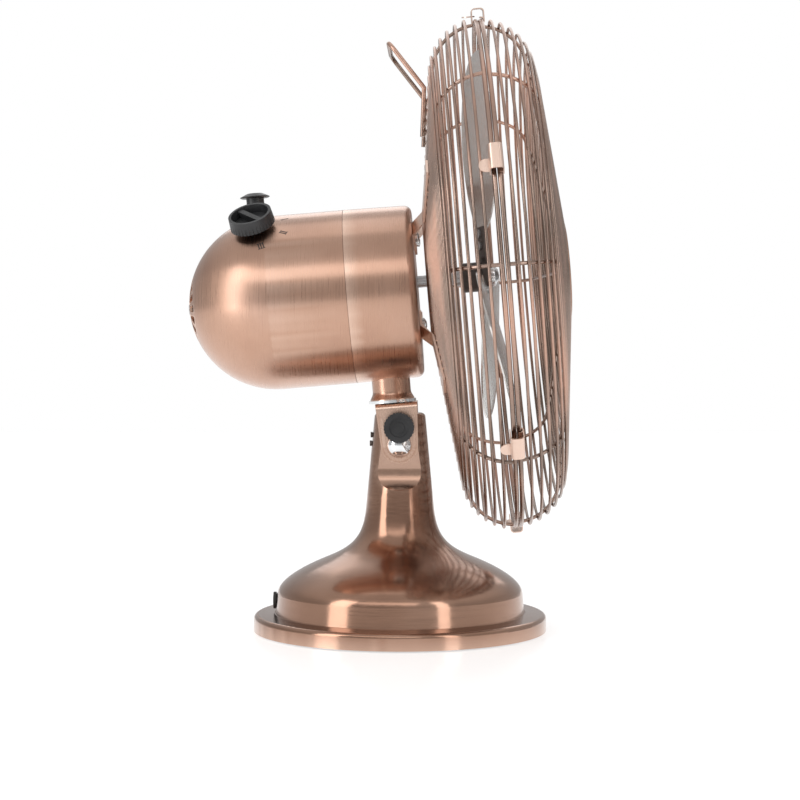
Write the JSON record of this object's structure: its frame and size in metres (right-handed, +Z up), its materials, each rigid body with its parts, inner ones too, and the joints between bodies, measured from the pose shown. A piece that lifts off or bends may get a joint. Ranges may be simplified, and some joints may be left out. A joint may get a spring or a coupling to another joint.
{
  "type": "desk fan",
  "caption": "Table fan with trumpet pedestal, tilting and oscillating round-backed motor head, wire guard and broad metal blades.",
  "frame": {"origin": "centre of the pedestal's underside, where the pad meets the table", "axes": "+Z up, +X the way the fan blows, the speed dial leans to the -Y side"},
  "size_m": [0.2595, 0.3424, 0.4181],
  "materials": {
    "copper_brushed": "brushed antique copper, clear lacquered",
    "copper_clips": "copper plated sheet steel",
    "copper_wire": "copper-washed steel wire, patinated",
    "badge_metal": "antique copper",
    "blade_metal": "pressed sheet, one side lacquered",
    "chrome": "polished",
    "steel": "machined",
    "black_plastic": "black, slightly satin",
    "hub_black": "dark",
    "iron": "as cast",
    "lamination": "varnished laminations",
    "winding": "enamelled copper wire",
    "bronze": "sintered bronze",
    "zinc": "die cast",
    "nylon": "natural nylon",
    "dark_plastic": "moulded",
    "rubber": "moulded rubber",
    "felt": "pressed felt"
  },
  "bodies": {
    "stand": {"pedestal": "copper_brushed", "base_cover": "steel", "base_pad": "felt", "base_weight": "iron", "base_screws": "steel", "cord_grommet": "rubber", "neck_screws": "steel", "tilt_bolt": "chrome", "tilt_nut": "chrome", "tilt_washers": "chrome", "clamp_stud": "chrome"},
    "clamp_knob": {"tilt_knob": "black_plastic"},
    "yoke": {"tilt_yoke": "copper_brushed", "neck_spindle": "steel", "spindle_clip": "steel"},
    "head": {"neck_disc": "chrome", "neck_post": "copper_brushed", "front_housing": "copper_brushed", "rear_housing": "copper_brushed", "rear_screw": "steel", "stator_core": "lamination", "stator_coils": "winding", "front_bracket": "steel", "rear_bracket": "steel", "front_bearing": "bronze", "rear_bearing": "bronze", "gearbox_case": "zinc", "capacitor": "dark_plastic", "speed_switch": "dark_plastic", "rear_guard_rim": "copper_wire", "rear_guard_face": "copper_wire", "front_guard_rim": "copper_wire", "front_guard_face": "copper_wire", "badge": "badge_metal", "badge_plate": "steel", "guard_brackets": "copper_clips", "bracket_screws": "chrome", "carry_handle": "copper_wire"},
    "rotor": {"motor_shaft": "steel", "rotor_core": "lamination", "worm": "steel", "blade_spider": "hub_black", "blade_1": "blade_metal", "blade_2": "blade_metal", "blade_3": "blade_metal", "blade_rivets": "steel", "hub_nut": "chrome"},
    "gear": {"worm_wheel": "nylon", "crank_shaft": "steel"},
    "link": {"crank_link": "steel"},
    "pull_knob": {"oscillation_knob": "black_plastic"},
    "dial": {"speed_dial": "black_plastic", "dial_spindle": "steel"},
    "clip_1": {"guard_clip_1": "copper_clips"},
    "clip_2": {"guard_clip_2": "copper_clips"},
    "clip_3": {"guard_clip_3": "copper_clips"},
    "clip_4": {"guard_clip_4": "copper_clips"},
    "clip_5": {"guard_clip_5": "copper_clips"},
    "clip_6": {"guard_clip_6": "copper_clips"}
  },
  "joints": [
    {"name": "head_tilt", "type": "hinge", "parent": "stand", "child": "yoke", "pos_m": [0, 0, 0.127], "axis": [0, -1, 0], "range_deg": [-12, 10]},
    {"name": "clamp_knob_turn", "type": "hinge", "parent": "stand", "child": "clamp_knob", "pos_m": [0, -0.027, 0.139], "axis": [0, -1, 0], "range_deg": [0, 270]},
    {"name": "head_oscillation", "type": "hinge", "parent": "yoke", "child": "head", "pos_m": [-0.0058, 0, 0.16515], "axis": [-0.0819, 0, 0.9966], "range_deg": [-40, 40]},
    {"name": "blade_spin", "type": "hinge", "parent": "head", "child": "rotor", "pos_m": [0.06586, 0, 0.24128], "axis": [0.9966, 0, 0.0819], "continuous": true},
    {"name": "gear_turn", "type": "hinge", "parent": "head", "child": "gear", "pos_m": [-0.06969, 0.017, 0.23014], "axis": [-0.0819, 0, 0.9966], "continuous": true},
    {"name": "crank_link_turn", "type": "hinge", "parent": "gear", "child": "link", "pos_m": [-0.06526, 0.021, 0.17637], "axis": [-0.0819, 0, 0.9966], "continuous": true},
    {"name": "oscillation_pull", "type": "slide", "parent": "head", "child": "pull_knob", "axis": [-0.0819, 0, 0.9966], "range_m": [-0.006, 0]},
    {"name": "speed_select", "type": "hinge", "parent": "head", "child": "dial", "pos_m": [-0.09683, -0.03111, 0.27364], "axis": [-0.2083, -0.51, 0.8346], "range_deg": [0, 150]},
    {"name": "clip_1_lever", "type": "hinge", "parent": "head", "child": "clip_1", "pos_m": [0.05381, -0.02536, 0.40855], "axis": [-0.0123, 0.9888, 0.149], "range_deg": [0, 40]},
    {"name": "clip_2_lever", "type": "hinge", "parent": "head", "child": "clip_2", "pos_m": [0.06248, -0.15791, 0.30309], "axis": [-0.0763, 0.3649, 0.9279], "range_deg": [0, 40]},
    {"name": "clip_3_lever", "type": "hinge", "parent": "head", "child": "clip_3", "pos_m": [0.07622, -0.13255, 0.13597], "axis": [-0.064, -0.6239, 0.7789], "range_deg": [0, 40]},
    {"name": "clip_4_lever", "type": "hinge", "parent": "head", "child": "clip_4", "pos_m": [0.08129, 0.02536, 0.07429], "axis": [0.0123, -0.9888, -0.149], "range_deg": [0, 40]},
    {"name": "clip_5_lever", "type": "hinge", "parent": "head", "child": "clip_5", "pos_m": [0.07262, 0.15791, 0.17974], "axis": [0.0763, -0.3649, -0.9279], "range_deg": [0, 40]},
    {"name": "clip_6_lever", "type": "hinge", "parent": "head", "child": "clip_6", "pos_m": [0.05888, 0.13255, 0.34687], "axis": [0.064, 0.6239, -0.7789], "range_deg": [0, 40]}
  ],
  "couplings": [
    {"joint": "gear_turn", "follows": "blade_spin", "ratio": -0.041667},
    {"joint": "crank_link_turn", "follows": "blade_spin", "ratio": 0.041667}
  ]
}
